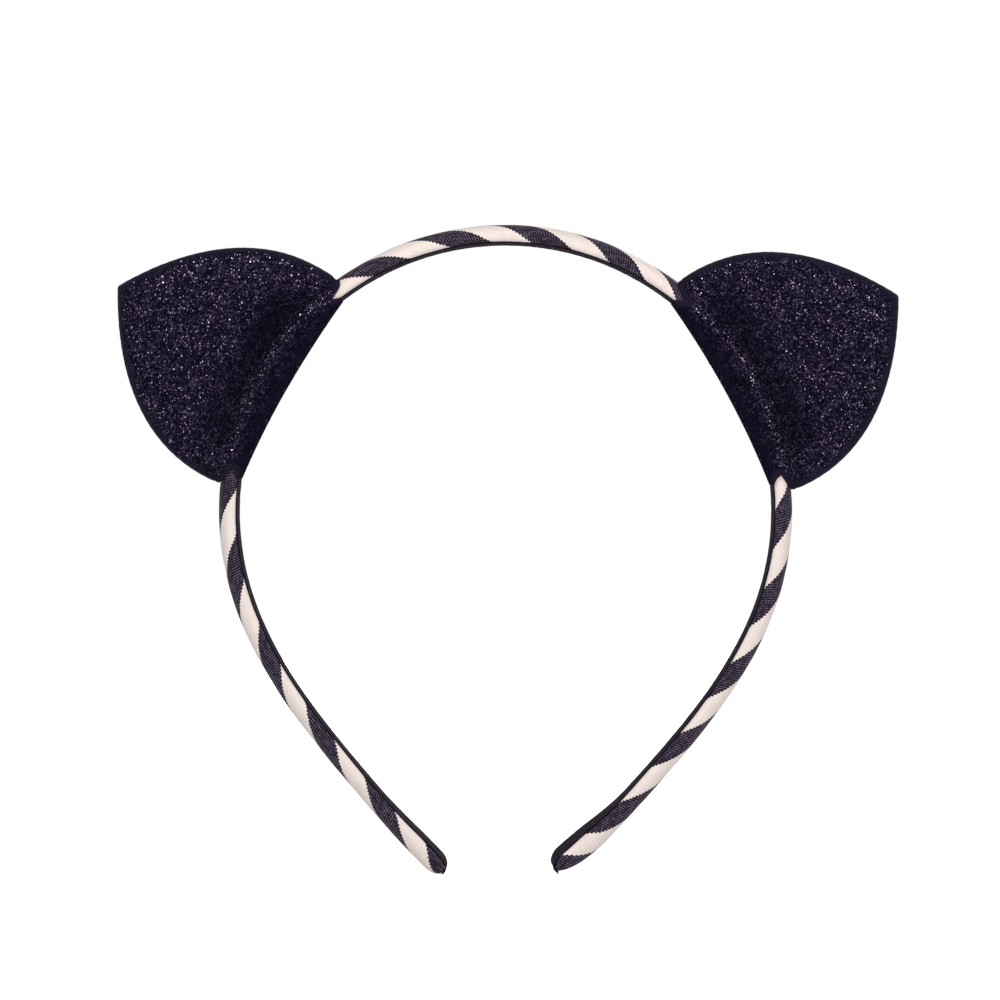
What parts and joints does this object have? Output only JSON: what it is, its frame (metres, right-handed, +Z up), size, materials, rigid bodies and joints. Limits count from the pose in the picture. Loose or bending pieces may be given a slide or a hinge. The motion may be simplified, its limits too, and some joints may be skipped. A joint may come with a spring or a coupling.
{
  "type": "animal ears headband",
  "caption": "Padded springy headband covered in black and cream diagonal striped ribbon, carrying two black glitter fabric cat ears folded round the band.",
  "frame": {"origin": "middle of the lining's flat inner face at the crown, where the band rests on the top of the head", "axes": "+Z up, away from the head; +X across the band, towards the right ear as seen from the front; -Y is the front"},
  "size_m": [0.1792, 0.0108, 0.148],
  "materials": {
    "spring_plastic": "satin, hidden springy strip",
    "band_foam": "soft open-cell foam, hidden",
    "striped_ribbon": "woven ribbon, cream satin and black twill diagonal stripes",
    "lining_tape": "matt black velvet-like tape",
    "clear_adhesive": "clear adhesive strip, hidden",
    "glitter_fabric": "navy black fabric coated with fine glitter",
    "ear_foam": "thin foam sheet, hidden",
    "seam_thread": "matt black sewing thread",
    "hot_melt_glue": "hot melt glue, hidden"
  },
  "bodies": {
    "band": {"band_core": "spring_plastic", "band_padding": "band_foam", "ribbon_cover": "striped_ribbon", "inner_lining": "lining_tape", "lining_adhesive": "clear_adhesive", "left_ear_base_wrap": "glitter_fabric", "left_ear_fixing_glue": "hot_melt_glue", "right_ear_base_wrap": "glitter_fabric", "right_ear_fixing_glue": "hot_melt_glue"},
    "left_ear": {"left_ear_front_panel": "glitter_fabric", "left_ear_back_panel": "glitter_fabric", "left_ear_foam_sheet": "ear_foam", "left_ear_edge_seam": "seam_thread"},
    "right_ear": {"right_ear_front_panel": "glitter_fabric", "right_ear_back_panel": "glitter_fabric", "right_ear_foam_sheet": "ear_foam", "right_ear_edge_seam": "seam_thread"}
  },
  "joints": [
    {"name": "left_ear_flex", "type": "hinge", "parent": "band", "child": "left_ear", "pos_m": [-0.05964, 0, -0.02745], "axis": [0.4924, 0, 0.8704], "range_deg": [-25, 25], "stiffness_Nm_per_rad": 0.02},
    {"name": "right_ear_flex", "type": "hinge", "parent": "band", "child": "right_ear", "pos_m": [0.05964, 0, -0.02745], "axis": [0.4924, 0, -0.8704], "range_deg": [-25, 25], "stiffness_Nm_per_rad": 0.02}
  ]
}
